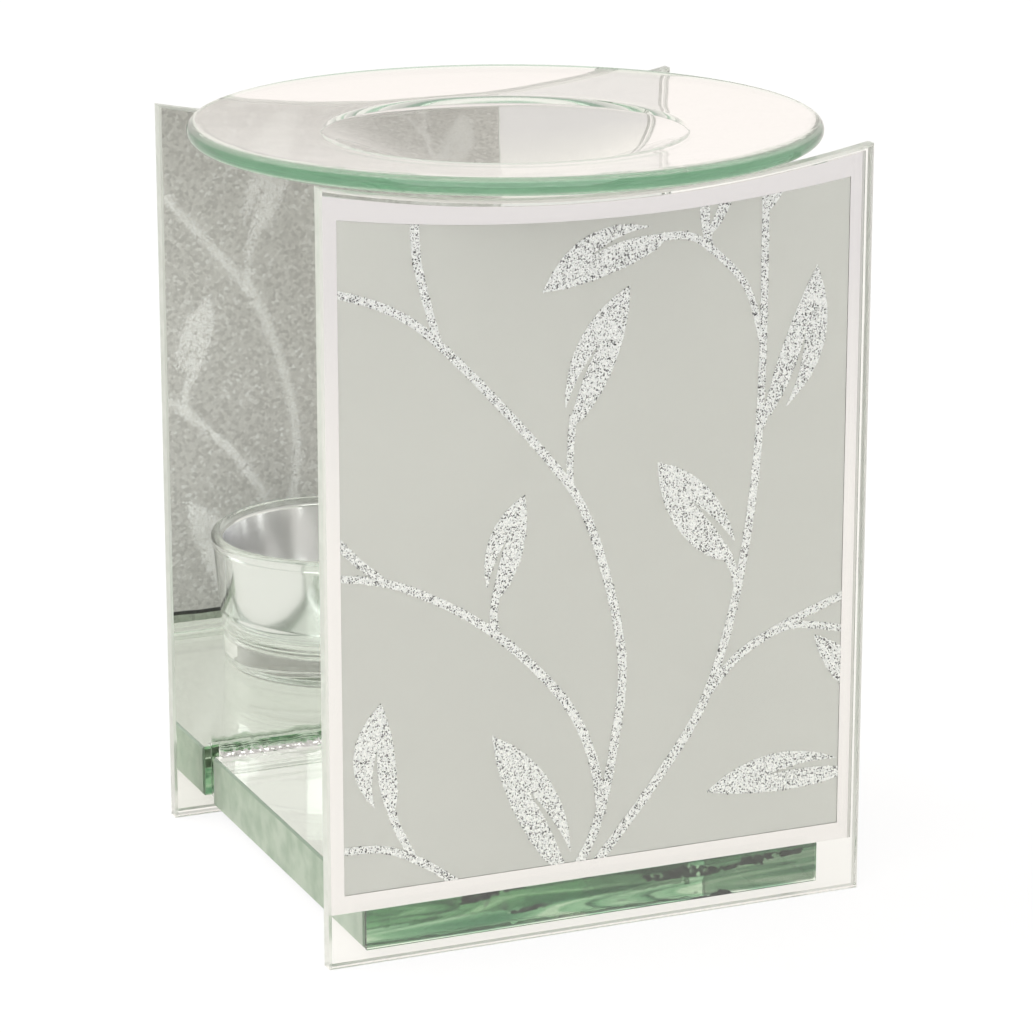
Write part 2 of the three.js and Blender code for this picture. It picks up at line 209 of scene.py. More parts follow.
def turned_piece(
    name: str, profile: np.ndarray, centre: tuple[float, float], steps: int, material: Material
) -> Object:
    """Turns a profile about an upright axis.

    A profile point of radius r and height z goes, at angle a, to centre plus r times cosine and sine of a,
    at height z. The first and last profile points lie on the axis and become one vertex each.

    Args:
        name: name of the piece.
        profile: radius and height in metres, from the axis below, round the rim, to the axis above.
        centre: where the axis stands.
        steps: columns round the axis.
        material: finish of the piece.

    Returns:
        The new object.
    """
    angle = np.arange(steps) * 2 * math.pi / steps
    radius, height = profile[1:-1, 0, None], profile[1:-1, 1, None]
    across, along = centre[0] + radius * np.cos(angle), centre[1] + radius * np.sin(angle)
    rings = np.stack([across, along, np.repeat(height, steps, axis=1)], axis=-1)
    poles = np.array([[*centre, profile[0, 1]], [*centre, profile[-1, 1]]])
    points = np.concatenate([poles, rings.reshape(-1, 3)])
    here = 2 + np.arange(rings.shape[0] * steps).reshape(-1, steps)
    there = np.roll(here, -1, axis=1)
    walls = np.stack([here[:-1], there[:-1], there[1:], here[1:]], axis=-1).reshape(-1, 4)
    under = np.stack([np.zeros(steps, int), there[0], here[0]], axis=-1)
    over = np.stack([np.ones(steps, int), here[-1], there[-1]], axis=-1)
    faces = walls.tolist() + under.tolist() + over.tolist()
    return mesh_piece(name, points, faces, material, smooth=True)


def arc(centre: tuple[float, float], radius: float, start: float, end: float, steps: int) -> np.ndarray:
    """Points of a circular arc: the centre plus radius times cosine and sine of an even run of angles.

    Args:
        centre: middle of the circle.
        radius: radius of the circle.
        start: first angle in degrees.
        end: last angle in degrees.
        steps: number of points.

    Returns:
        One point a row.
    """
    angle = np.radians(np.linspace(start, end, steps))
    return np.array(centre) + radius * np.stack([np.cos(angle), np.sin(angle)], axis=-1)


def bend(start: tuple, handle: tuple, end: tuple, steps: int) -> np.ndarray:
    """Points of a quadratic curve: the blend of start, handle and end by a square of shares.

    Args:
        start: first point.
        handle: point that pulls the curve.
        end: last point.
        steps: number of points.

    Returns:
        One point a row.
    """
    share = np.linspace(0, 1, steps)[:, None]
    rest = 1 - share
    return rest**2 * np.array(start) + 2 * rest * share * np.array(handle) + share**2 * np.array(end)


def filled(section: np.ndarray, step: float) -> np.ndarray:
    """Adds points to the straights of a section, so that a turned piece shades flat along them.

    The section is a run of straight stretches by its own length, read off every step of that length and
    at its own points. A new point too near one of these is left out.

    Args:
        section: one point a row.
        step: spacing of the new points.

    Returns:
        The section with more points, one a row.
    """
    run = np.concatenate([[0], np.cumsum(np.hypot(*np.diff(section, axis=0).T))])
    even = np.arange(step, run[-1], step)
    too_near = step / 4
    even = even[np.abs(even[:, None] - run).min(axis=1) > too_near]
    along = np.sort(np.concatenate([run, even]))
    return np.stack([np.interp(along, run, section[:, 0]), np.interp(along, run, section[:, 1])], axis=-1)


def face_normals(triangles: np.ndarray) -> np.ndarray:
    """Normals of triangles given by their corners, each as long as twice the triangle's area."""
    return np.cross(triangles[:, 1] - triangles[:, 0], triangles[:, 2] - triangles[:, 0])


def dress(node: str, material: Material) -> None:
    """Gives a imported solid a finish.

    Args:
        node: name of the solid.
        material: finish.
    """
    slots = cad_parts[node].data.materials
    slots.clear()
    slots.append(material)
    LOG.info("%s: dressed in %s", node, material.name)


def seat(piece: Object, body: Body, node: str) -> None:
    """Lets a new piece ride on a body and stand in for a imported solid.

    Args:
        piece: the new piece.
        body: body that carries it.
        node: solid that it stands for.
    """
    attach(piece, body.value)
    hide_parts(node)


@dataclass(frozen=True)
class Finish:
    """What a piece is finished with. Each kind gives its own surface, and a body where light goes in."""

    name: str

    def skin(self, tree: NodeTree) -> dict:
        """Inputs of the surface shader, which each kind of finish gives."""
        raise NotImplementedError

    def body(self, tree: NodeTree) -> dict:
        """Inputs of the material beside its surface: none, unless light goes in."""
        return {}

    def material(self) -> Material:
        """Builds the material from the surface and the body.

        Returns:
            The new material.
        """
        material, tree = empty_tree(self.name)
        surface = add_node(tree, "BsdfPrincipled", self.skin(tree))
        add_node(tree, "OutputMaterial", {"Surface": surface, **self.body(tree)})
        return material


@dataclass(frozen=True)
class Glass(Finish):
    """Soda-lime glass, polished, with iron that takes red and blue before green: thick edges look green.

    absorption is per metre for red, green and blue. A look-through of a few millimetres stays clear.
    ripple is the height of a slow swell of the surface in millimetres, and ripple_mm its width.
    """

    absorption: tuple[float, float, float]
    ior: float = 1.52
    roughness: float = 0.0
    ripple_mm: float = 40.0
    ripple: float = 0.02

    def face(self, tree: NodeTree, place: NodeSocket) -> dict:
        """Colour, clearness and roughness of the surface, as inputs of its shader."""
        return {"Base Color": linear(CLEAR), "Transmission Weight": 1.0, "Roughness": self.roughness}

    def skin(self, tree: NodeTree) -> dict:
        """A refracting surface with a faint swell.

        Args:
            tree: node tree of the material.

        Returns:
            Inputs of the surface shader.
        """
        place = place_on(tree)
        waves = add_node(tree, "TexNoise", {**sized(place, self.ripple_mm), "Detail": 1.0})
        swell = add_node(tree, "Bump", {"Height": waves, "Strength": 1.0, "Distance": self.ripple * MM})
        return {**self.face(tree, place), "IOR": self.ior, "Normal": swell}

    def body(self, tree: NodeTree) -> dict:
        """An absorbing body, as dense as its strongest colour needs.

        Args:
            tree: node tree of the material.

        Returns:
            Inputs of the material beside its surface.
        """
        density = max(self.absorption)
        kept = [1 - taken / density for taken in self.absorption]
        body = add_node(tree, "VolumeAbsorption", {"Color": (*kept, 1.0), "Density": density})
        return {"Volume": body}


@dataclass(frozen=True)
class CutGlass(Glass):
    """Sheet glass with cut edges: the faces stay clear, and the abrasive leaves the edges pale and hazy.

    The cut lies within reach_mm of middle_mm on either side of the object, and its outer arris_mm are the
    narrow bevel beside it, of the colour arris. edge is the lighter and the darker colour of the cut, haze
    how much light it scatters, grit how rough it is, and mottle_mm the size of the patches that the grinding
    left. The faces start margin_mm inside the reach, and the flat of the cut laps lap_mm over the bevel.
    """

    cut: Cut = Cut.ALL_ROUND
    middle_mm: float = 39.5
    reach_mm: float = 1.5
    arris_mm: float = 0.4
    edge: tuple[str, str] = ("#F5F6F2", "#E9ECE6")
    arris: str = "#D6DAD3"
    haze: float = 0.2
    grit: float = 0.3
    mottle_mm: float = 3.0
    margin_mm: float = 0.03
    lap_mm: float = 0.02

    def face(self, tree: NodeTree, place: NodeSocket) -> dict:
        """Clear on the faces and hazy on the cuts, which are told apart by their place.

        Args:
            tree: node tree of the material.
            place: socket that gives the place on the piece.

        Returns:
            Inputs of the surface shader.
        """
        along = add_node(tree, "SeparateXYZ", {"Vector": place}).outputs[self.cut.value]
        away = add_node(tree, "Math", {0: along}, operation="ABSOLUTE")
        on_cut, on_flat = (
            add_node(tree, "Math", {0: away, 1: self.middle_mm * MM, 2: reach * MM}, operation="COMPARE")
            for reach in (self.reach_mm - self.margin_mm, self.reach_mm - self.arris_mm + self.lap_mm)
        )
        mottle = add_node(tree, "TexNoise", {**sized(place, self.mottle_mm), "Detail": 4.0})
        ground = add_node(tree, "ValToRGB", {"Fac": mottle}, ((0.38, self.edge[1]), (0.62, self.edge[0])))
        edges = mixed_colour(tree, on_flat, linear(self.arris), ground)
        colour = mixed_colour(tree, on_cut, linear(CLEAR), edges)
        clear = add_node(tree, "Math", {0: on_cut, 1: -self.haze, 2: 1.0}, operation="MULTIPLY_ADD")
        rough = add_node(tree, "Math", {0: on_cut, 1: self.grit}, operation="MULTIPLY")
        return {"Base Color": colour, "Transmission Weight": clear, "Roughness": rough}


@dataclass(frozen=True)
class PaintedRimGlass(Glass):
    """A round of glass about the upright axis, with painted light on its rim: the green that light picks up
    on its way through the glass, with painted highlights and shade.

    rim is the pale green of the painted highlights and the dark green of the painted middle, and rim_mm
    the radius where the rim starts and where it ends.
    """

    # Painted light on the rim: the green of its highlights, and of its darker middle.
    rim: tuple[str, str] = ("#EAF3EC", "#76A88A")
    rim_mm: tuple[float, float] = (52.2, 53.45)

    def face(self, tree: NodeTree, place: NodeSocket) -> dict:
        """Clear inside, then painted light on the rim: pale green highlights from its inner radius, and a
        darker green towards the outer one.

        Args:
            tree: node tree of the material.
            place: socket that gives the place on the piece.

        Returns:
            Inputs of the surface shader.
        """
        level = add_node(tree, "VectorMath", {0: place, 1: (1.0, 1.0, 0.0)}, operation="MULTIPLY")
        radius = add_node(tree, "VectorMath", {0: level}, operation="LENGTH")
        share = add_node(tree, "MapRange", {
            "Value": radius.outputs["Value"],
            "From Min": self.rim_mm[0] * MM, "From Max": self.rim_mm[1] * MM,
        })
        # Painted light: pale green highlights on the rim's upper and lower round, darker green where its
        # middle faces out.
        colour = add_node(tree, "ValToRGB", {"Fac": share}, (
            (0.0, "#FCFAFA"), (0.3, self.rim[0]), (0.72, self.rim[0]), (0.86, self.rim[1]),
        ))
        return {"Base Color": colour, "Transmission Weight": 1.0, "Roughness": self.roughness}


@dataclass(frozen=True)
class StreakyAdhesive(Glass):
    """Clear adhesive pressed out in a thin film, coloured in drawn-out streaks.

    It is coloured with pale and dark green streaks along the film, and dark lenses full of bright specks,
    more of them to the right. streak_mm and lens_mm are the length and height of a streak and of a lens. A
    place lies in a lens where the lens noise, from zero to one, is above a threshold given for the left and
    the right end.
    """

    streak_mm: tuple[float, float] = (66.0, 4.0)
    lens_mm: tuple[float, float] = (15.0, 2.6)
    speck_mm: float = 1.3
    half_length_mm: float = 42.0
    lens_above: tuple[float, float] = (0.68, 0.55)

    def face(self, tree: NodeTree, place: NodeSocket) -> dict:
        """Clear adhesive, tinted along drawn-out waves and darkened in specked lenses.

        Args:
            tree: node tree of the material.
            place: socket that gives the place on the piece.

        Returns:
            Inputs of the surface shader.
        """
        waves = []
        for length, height in (self.streak_mm, self.lens_mm):
            drawn_out = add_node(tree, "VectorMath", {
                0: place, 1: (1 / (length * MM), 1.0, 1 / (height * MM)),
            }, operation="MULTIPLY")
            noise = add_node(tree, "TexNoise", {
                "Vector": drawn_out, "Scale": 1.0, "Detail": 1.5, "Distortion": 0.9,
            })
            waves.append(noise)
        streaks = add_node(tree, "ValToRGB", {"Fac": waves[0]}, (
            (0.34, "#62A07F"), (0.4, "#B5DCC0"), (0.42, "#F8FFF6"), (0.46, "#F0FCEF"), (0.47, "#A9D5B7"),
            (0.52, "#CBE8D2"), (0.53, "#3A6B52"), (0.55, "#A9D5B7"), (0.6, "#F8FFF6"), (0.61, "#86BD9C"),
            (0.7, "#CBE8D2"),
        ))
        cells = add_node(tree, "TexVoronoi", sized(place, self.speck_mm))
        specks = add_node(tree, "ValToRGB", {"Fac": cells}, ((0.34, "#D6EAD8"), (0.44, "#1F2C25")))
        across = add_node(tree, "SeparateXYZ", {"Vector": place}).outputs["X"]
        more = add_node(tree, "MapRange", {
            "Value": across, "From Min": -self.half_length_mm * MM, "From Max": self.half_length_mm * MM,
            "To Min": self.lens_above[0], "To Max": self.lens_above[1],
        })
        in_lens = add_node(tree, "Math", {0: waves[1], 1: more}, operation="GREATER_THAN")
        colour = mixed_colour(tree, in_lens, streaks, specks)
        return {"Base Color": colour, "Transmission Weight": 1.0, "Roughness": self.roughness}


@dataclass(frozen=True)
class MirrorSilver(Finish):
    """Chemically deposited silver behind glass: a smooth bright metal with hardly any colour."""

    colour: str
    roughness: float

    def skin(self, tree: NodeTree) -> dict:
        """Smooth metal, with faint clouds of roughness where the deposit is uneven.

        Args:
            tree: node tree of the material.

        Returns:
            Inputs of the surface shader.
        """
        place = place_on(tree)
        cloud_mm = 14
        clouds = add_node(tree, "TexNoise", sized(place, cloud_mm))
        rough = add_node(tree, "MapRange", {
            "Value": clouds, "To Min": self.roughness, "To Max": 2 * self.roughness,
        })
        return {"Base Color": linear(self.colour), "Metallic": 1.0, "Roughness": rough}


@dataclass(frozen=True)
class SatinInk(Finish):
    """Screen-printed satin ink on the back of glass: even, with a trace of mesh and of cloudy film."""

    light: str
    dark: str

    def skin(self, tree: NodeTree) -> dict:
        """A broad cloud and a fine grain of the screen.

        Args:
            tree: node tree of the material.

        Returns:
            Inputs of the surface shader.
        """
        place = place_on(tree)
        cloud_mm, grain_mm, grain_share = 45, 0.4, 0.25
        clouds = add_node(tree, "TexNoise", sized(place, cloud_mm))
        grain = add_node(tree, "TexNoise", sized(place, grain_mm))
        both = add_node(tree, "Mix", {"Factor": grain_share, "A": clouds, "B": grain})
        colour = add_node(tree, "ValToRGB", {"Fac": both}, ((0.3, self.dark), (0.7, self.light)))
        return {"Base Color": colour, "Roughness": 0.6}


@dataclass(frozen=True)
class GlitterCoat(Finish):
    """Fine glitter in lacquer, sprayed on: grains at many angles, whose greys are partly their own tone
    and partly painted reflection, with painted glints at the white end.
    """

    grain_mm: float
    stops: Stops

    def colour(self, tree: NodeTree, place: NodeSocket, grains: Feed) -> Feed:
        """Colour of the coat, which is that of its grains."""
        return grains

    def skin(self, tree: NodeTree) -> dict:
        """One grey for each grain, partly painted reflection and glint, over broad patches of thicker and
        thinner spray.

        Args:
            tree: node tree of the material.

        Returns:
            Inputs of the surface shader.
        """
        place = place_on(tree)
        patch_mm, patch_share, relief_mm = 9, 0.3, 0.05
        grains = add_node(tree, "TexVoronoi", sized(place, self.grain_mm))
        patches = add_node(tree, "TexNoise", sized(place, patch_mm))
        tone = add_node(tree, "SeparateColor", {"Color": grains.outputs["Color"]})
        mixed = add_node(tree, "Mix", {"Factor": patch_share, "A": tone.outputs["Red"], "B": patches})
        # Each grain's grey: partly its own tone, partly painted reflection, and painted glints at the white
        # end.
        grey = add_node(tree, "ValToRGB", {"Fac": mixed}, self.stops)
        relief = add_node(tree, "Bump", {
            "Height": tone.outputs["Green"], "Strength": 0.4, "Distance": relief_mm * MM,
        })
        colour = self.colour(tree, place, grey)
        return {"Base Color": colour, "Metallic": 0.3, "Roughness": 0.45, "Normal": relief}


@dataclass(frozen=True)
class ShadeBandCoat(GlitterCoat):
    """A glitter coat with a dark band of painted shade a little above a plate, the shadow of the slit where
    coat and plate meet, and clear adhesive below.

    Its one field gives the height of the lower and upper edge of the band of painted shade.
    """

    shade_band_mm: tuple[float, float] = (12.4, 13.2)

    def colour(self, tree: NodeTree, place: NodeSocket, grains: Feed) -> Feed:
        """Grains above the band of painted shade, then the band and the adhesive by their height, with a
        slight waver.

        Args:
            tree: node tree of the material.
            place: socket that gives the place on the piece.
            grains: what gives the colour of each grain.

        Returns:
            What gives the colour.
        """
        low, high = self.shade_band_mm
        waver_mm, sway_mm = 15, 1.2
        waver = add_node(tree, "TexNoise", sized(place, waver_mm))
        height = add_node(tree, "SeparateXYZ", {"Vector": place}).outputs["Z"]
        moved = add_node(tree, "Math", {0: waver, 1: sway_mm * MM, 2: height}, operation="MULTIPLY_ADD")
        share = add_node(tree, "MapRange", {
            "Value": moved, "From Min": low * MM, "From Max": (2 * high - low) * MM,
        })
        # Pale adhesive, the dark band of painted shade, then the grains as they are.
        shade_band = add_node(tree, "ValToRGB", {"Fac": share}, (
            (0.3, "#D3DFD0"), (0.36, "#2A2D2B"), (0.78, "#2A2D2B"), (0.86, "#FFFFFF"),
        ))
        return mixed_colour(tree, 1.0, grains, shade_band, blend_type="MULTIPLY")


@dataclass(frozen=True)
class GlitterFlake(Finish):
    """Cut silver foil: each flake gets one random tone, from dark, a painted reflection of shade, to white,
    a painted glint.
    """

    stops: Stops
    metallic: float = 1.0

    def skin(self, tree: NodeTree) -> dict:
        """Foil with the tone that each flake carries as an attribute.

        Args:
            tree: node tree of the material.

        Returns:
            Foil with the random tone that each flake carries as an attribute: painted reflection and glint.
        """
        tone = add_node(tree, "Attribute", attribute_name="tone")
        colour = add_node(tree, "ValToRGB", {"Fac": tone.outputs["Fac"]}, self.stops)
        return {"Base Color": colour, "Metallic": self.metallic, "Roughness": 0.22}


@dataclass(frozen=True)
class MirrorPaint(Finish):
    """Protective mirror backing paint, curtain coated: matt grey with a slight orange peel."""

    light: str
    dark: str

    def skin(self, tree: NodeTree) -> dict:
        """Cloudy greys and a fine relief.

        Args:
            tree: node tree of the material.

        Returns:
            Inputs of the surface shader.
        """
        place = place_on(tree)
        cloud_mm, peel_mm, relief_mm = 20, 0.8, 0.05
        clouds = add_node(tree, "TexNoise", {**sized(place, cloud_mm), "Detail": 5.0})
        peel = add_node(tree, "TexNoise", sized(place, peel_mm))
        colour = add_node(tree, "ValToRGB", {"Fac": clouds}, ((0.3, self.dark), (0.7, self.light)))
        relief = add_node(tree, "Bump", {"Height": peel, "Strength": 0.25, "Distance": relief_mm * MM})
        return {"Base Color": colour, "Roughness": 0.62, "Normal": relief}


@dataclass(frozen=True)
class Finishes:
    """Every finish of the burner, made once."""

    float_glass: Material
    thick_glass: Material
    pressed_glass: Material
    slumped_glass: Material
    adhesive: Material
    film: Material
    front_silver: Material
    back_silver: Material
    lining: Material
    satin_ink: Material
    grey_glitter: Material
    vine_bed: Material
    vine_flake: Material
    inner_flake: Material
    back_paint: Material

    @classmethod
    def make(cls) -> "Finishes":
        """Makes the materials from the finishes' own values.

        Returns:
            The finishes, each with its material.
        """
        # Grey glitter: the coat's own greys, with painted glints where the ramp turns white.
        greys = ((0.15, "#CAC8C5"), (0.45, "#DBD9D6"), (0.75, "#E5E3E0"), (0.95, "#FFFFFF"))
        # Silver foil: dark tones are painted reflections of shade, white ones painted glints.
        foil = ((0.0, "#0E0F10"), (0.17, "#3A3B3D"), (0.21, "#B9B9B7"), (0.27, "#FFFFFF"))
        strewn = ((0.0, "#EDEBE8"), (1.0, "#FFFFFF"))
        kinds = dict(
            # Thin sheet: hardly any tint through its face, and pale cut edges.
            float_glass=CutGlass("float_glass_sheet", (2.2, 1.2, 2.2)),
            # Thick sheet: seen along its length it is clearly green, and its ends are cut by hand.
            thick_glass=CutGlass(
                "float_glass_thick", (5.6, 3.1, 6.1), cut=Cut.ENDS, middle_mm=41.6, reach_mm=0.4,
                edge=("#B9C6B4", "#99AD97"), arris="#93A593", haze=0.5, grit=0.35, mottle_mm=5.0,
            ),
            # Pressed in a hot mould: smooth and nearly colourless.
            pressed_glass=Glass("pressed_glass", (0.6, 0.4, 0.7), ripple_mm=12.0, ripple=0.006),
            # Slumped into a mould: stronger swells than a float sheet has, and a rim painted with the green
            # of
            #             # light through the glass, with painted highlights.
            slumped_glass=PaintedRimGlass("slumped_float_glass", (2.4, 1.6, 2.4), ripple_mm=16.0, ripple=0.06),
            # Squeezed-out clear adhesive: soft lumps that catch the light.
            adhesive=Glass("cured_clear_adhesive", (2.2, 1.0, 2.2), 1.49, 0.05, ripple_mm=2.5, ripple=0.12),
            # The same adhesive as a thin film, coloured with pale and dark green streaks and dark specked
            # lenses.
            film=StreakyAdhesive(
                "cured_clear_adhesive_film", (3.6, 1.8, 3.6), 1.49, 0.02, ripple_mm=3.0, ripple=0.05
            ),
            # Silver behind glass: bright, a touch pink on the front and hardly warm on the mirror.
            front_silver=MirrorSilver("silvering_front", "#F5F1F2", 0.01),
            back_silver=MirrorSilver("silvering_back", "#F3F2F0", 0.006),
            # Silver deposited in the cup's well: it blurs what it mirrors a little.
            lining=MirrorSilver("silvering_cup", "#F4F4F5", 0.08),
            satin_ink=SatinInk("satin_printed_ink", "#E5E4DF", "#E0DFDA"),
            # Grains are drawn slightly coarser than real ones, so that they show.
            grey_glitter=ShadeBandCoat("grey_glitter_lacquer", 0.65, greys),
            vine_bed=GlitterCoat("silver_glitter_bed", 0.3, foil),
            vine_flake=GlitterFlake("silver_glitter_foil", foil),
            # Through the lacquer the foil looks white rather than mirror-like.
            inner_flake=GlitterFlake("lacquered_glitter_foil", strewn, 0.15),
            back_paint=MirrorPaint("mirror_backing_paint", "#9A9E9B", "#888D8B"),
        )
        return cls(**{finish: kind.material() for finish, kind in kinds.items()})


@dataclass(frozen=True)
class FlakeScatter:
    """Small flat flakes strewn over flat upright shapes, some of them past the outline.

    plane_mm is the depth that they lie at, radius_mm the smallest and the largest radius, spill_mm how far
    they stray, and tilt_deg the most that they lean.
    """

    name: str
    nodes: tuple[str, ...]
    plane_mm: float
    per_mm2: float
    radius_mm: tuple[float, float]
    spill_mm: float
    tilt_deg: float
    facing: Facing
    seed: int
    sides: int = 6

    def front_triangles(self) -> np.ndarray:
        """Finds the triangles of the named solids that look to the front.

        Returns:
            Three corners of each triangle, in metres.
        """
        found = []
        head_on = 0.5
        for node in self.nodes:
            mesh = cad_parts[node].data
            mesh.calc_loop_triangles()
            points = np.empty(3 * len(mesh.vertices), np.float32)
            mesh.vertices.foreach_get("co", points)
            corners = np.empty(3 * len(mesh.loop_triangles), np.int32)
            mesh.loop_triangles.foreach_get("vertices", corners)
            triangles = points.reshape(-1, 3)[corners].reshape(-1, 3, 3).astype(float)
            normal = face_normals(triangles)
            found.append(triangles[normal[:, 1] < -head_on * np.linalg.norm(normal, axis=1)])
        return np.concatenate(found)

    def build(self, field: "PrintField", material: Material) -> Object:
        """Strews the flakes: a triangle by its area, an even point in it, a spill, a turn and a tilt.

        A flake's corner k lies at its centre plus its radius along a turn of k shares of a circle, one share
        for each side, and its depth is the corner's place along a random slope.

        Args:
            field: outline that the flakes stay inside.
            material: finish of the flakes.

        Returns:
            The new object.
        """
        random = np.random.default_rng(self.seed)
        triangles = self.front_triangles()
        area = np.linalg.norm(face_normals(triangles), axis=1) / 2
        count = int(self.per_mm2 * area.sum() / MM**2)
        chosen = triangles[random.choice(len(area), count, p=area / area.sum())]
        root, share = np.sqrt(random.random(count)), random.random(count)
        weights = np.stack([1 - root, root * (1 - share), root * share], axis=-1)
        centre = np.einsum("nk,nkc->nc", weights, chosen)[:, (0, 2)]
        centre += random.normal(0, self.spill_mm * MM, (count, 2))
        centre = centre[field.holds(centre)]
        count = len(centre)
        radius = random.uniform(*self.radius_mm, count)[:, None] * MM
        turn = random.random(count)[:, None] * math.pi + np.arange(self.sides) * 2 * math.pi / self.sides
        across, up = radius * np.cos(turn), radius * np.sin(turn)
        lean = random.normal(0, self.tilt_deg / 2, (count, 2)).clip(-self.tilt_deg, self.tilt_deg)
        slope = np.tan(np.radians(lean))
        depth = slope[:, :1] * across + slope[:, 1:] * up
        points = np.stack(
            [centre[:, :1] + across, self.plane_mm * MM + depth, centre[:, 1:] + up], axis=-1
        ).reshape(-1, 3)
        faces = np.arange(self.sides * count).reshape(count, self.sides)
        if self.facing is Facing.INWARDS:
            faces = faces[:, ::-1]
        piece = mesh_piece(self.name, points, faces.tolist(), material, smooth=False)
        # Each flake's random tone picks its painted reflection from the ramp, dark shade up to white glint.
        tone = piece.data.attributes.new("tone", "FLOAT", "POINT")
        tone.data.foreach_set("value", np.repeat(random.random(count), self.sides).astype(np.float32))
        return piece


@dataclass(frozen=True)
class PrintField:
    """Outline of the satin field: square below, a shallow scoop above. Sizes in millimetres.

    middle is the height of the scoop's lowest point.
    """

    half_width: float = 45.05
    bottom: float = 11.9
    middle: float = 120.95
    scoop_depth: float = 3.45

    def holds(self, points: np.ndarray) -> np.ndarray:
        """Says which points lie inside: under the circle that dips scoop_depth over the width.

        Args:
            points: place across and height, in metres, one row each.

        Returns:
            One truth value a row.
        """
        across, height = points[:, 0] / MM, points[:, 1] / MM
        radius = (self.half_width**2 + self.scoop_depth**2) / (2 * self.scoop_depth)
        inside = np.abs(across) < self.half_width
        rise = radius - np.sqrt(np.maximum(radius**2 - across**2, 0))
        return inside & (height > self.bottom) & (height < self.middle + rise)


@dataclass
class FrontPanel:
    """Clear pane with a silvered border, a satin field, glitter vines and a grey glitter backing.

    The flakes' planes are depths in millimetres.
    """

    vine: tuple[str, ...] = (
        "glitter_vine_left", "glitter_vine_right", "glitter_spray_left",
        "glitter_leaf_centre", "glitter_leaf_right", "glitter_leaf_edge",
    )
    flake_plane: float = -37.975
    inner_flake_plane: float = -37.39

    def build(self, finishes: Finishes) -> None:
        """Dresses the pane and its coats and strews the flakes.

        Args:
            finishes: the burner's finishes.
        """
        dress("front_glass", finishes.float_glass)
        dress("front_silver_border", finishes.front_silver)
        dress("front_satin_field", finishes.satin_ink)
        dress("front_glitter_backing", finishes.grey_glitter)
        for node in self.vine:
            dress(node, finishes.vine_bed)
        field = PrintField()
        flakes = FlakeScatter(
            "vine_flakes", self.vine, self.flake_plane, per_mm2=24, radius_mm=(0.08, 0.15), spill_mm=0.05,
            tilt_deg=7, facing=Facing.OUTWARDS, seed=11,
        ).build(field, finishes.vine_flake)
        inner = FlakeScatter(
            "inner_vine_flakes", self.vine, self.inner_flake_plane, per_mm2=18, radius_mm=(0.12, 0.24),
            spill_mm=0.45, tilt_deg=3, facing=Facing.INWARDS, seed=12,
        ).build(field, finishes.inner_flake)
        for piece, slot in ((flakes, "silver_glitter"), (inner, "grey_glitter")):
            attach(piece, Body.STAND.value)


@dataclass
class BackPanel:
    """Clear pane, silvered and painted on its outside."""

    def build(self, finishes: Finishes) -> None:
        """Dresses the pane, its silvering and its paint.

        Args:
            finishes: the burner's finishes.
        """
        dress("back_glass", finishes.float_glass)
        dress("back_silvering", finishes.back_silver)
        dress("back_paint", finishes.back_paint)


@dataclass
class Base:
    """Thick plate between the panes with its adhesive. Sizes of the bead in millimetres.

    Each pair of waves is how many run along the bead in its broadest and finest part.
    """

    half_length: float = 40.1
    plate_edge: float = 37.3
    pane_face: float = 37.9
    foot: float = 1.8
    top: float = 11.2
    fillet: float = 1.8
    wander: float = 0.55
    lump_share: float = 0.35
    rise_waves: tuple[int, int] = (3, 40)
    reach_waves: tuple[int, int] = (5, 60)
    lump_waves: tuple[int, int] = (9, 90)
    curve_points: int = 9
    steps: int = 320
    seed: int = 5

    def wavering(self, lowest: int, highest: int) -> np.ndarray:
        """An uneven run along the bead: a sum of sine waves of random phase, weaker as they get finer.

        Args:
            lowest: number of waves in the broadest part.
            highest: number of waves in the finest part.

        Returns:
            One value a step, from minus one to one.
        """
        random = np.random.default_rng(self.seed + lowest)
        along = np.linspace(0, 2 * math.pi, self.steps)[:, None]
        waves = np.arange(lowest, highest)
        strength = 1 / np.sqrt(waves)
        phase = random.random(len(waves)) * 2 * math.pi
        run = (strength * np.sin(waves * along + phase)).sum(axis=1)
        return run / np.abs(run).max()

    def bead(self, material: Material) -> Object:
        """The bead at the back: a film behind the plate that swells into an uneven fillet on top.

        Its section is carried along the width. At each place the fillet's two legs are the fillet size
        plus a wavering amount, and a bulge lifts the hollow between them.

        Args:
            material: finish of the bead.

        Returns:
            The new object.
        """
        across = np.linspace(-self.half_length, self.half_length, self.steps)
        up = self.fillet + self.wander * self.wavering(*self.rise_waves)
        out = self.fillet + self.wander * self.wavering(*self.reach_waves)
        lump = self.lump_share * self.wander * self.wavering(*self.lump_waves)
        share = np.linspace(0, 1, self.curve_points)[None, :]
        rest = 1 - share
        curve_y = self.pane_face - share**2 * (out[:, None] + self.pane_face - self.plate_edge)
        curve_z = self.top + rest**2 * up[:, None] + 2 * share * rest * np.abs(lump[:, None])
        same = np.ones((self.steps, 1))
        depth = np.concatenate([
            self.plate_edge * same, self.pane_face * same, curve_y, self.plate_edge * same,
        ], axis=1)
        height = np.concatenate([self.foot * same, self.foot * same, curve_z, self.top * same], axis=1)
        count = depth.shape[1]
        points = np.stack([np.repeat(across[:, None], count, axis=1), depth, height], axis=-1) * MM
        here = np.arange(self.steps * count).reshape(self.steps, count)
        there = np.roll(here, -1, axis=1)
        walls = np.stack([here[:-1], here[1:], there[1:], there[:-1]], axis=-1).reshape(-1, 4)
        ends = [here[0].tolist(), here[-1, ::-1].tolist()]
        faces = walls.tolist() + ends
        return mesh_piece("back_adhesive", points.reshape(-1, 3), faces, material, smooth=False)

    def build(self, finishes: Finishes) -> None:
        """Dresses the plate and the front film, and makes the bead at the back.

        Args:
            finishes: the burner's finishes.
        """
        dress("base_plate", finishes.thick_glass)
        dress("front_glue_film", finishes.film)
        seat(self.bead(finishes.adhesive), Body.STAND, "back_glue_bead")


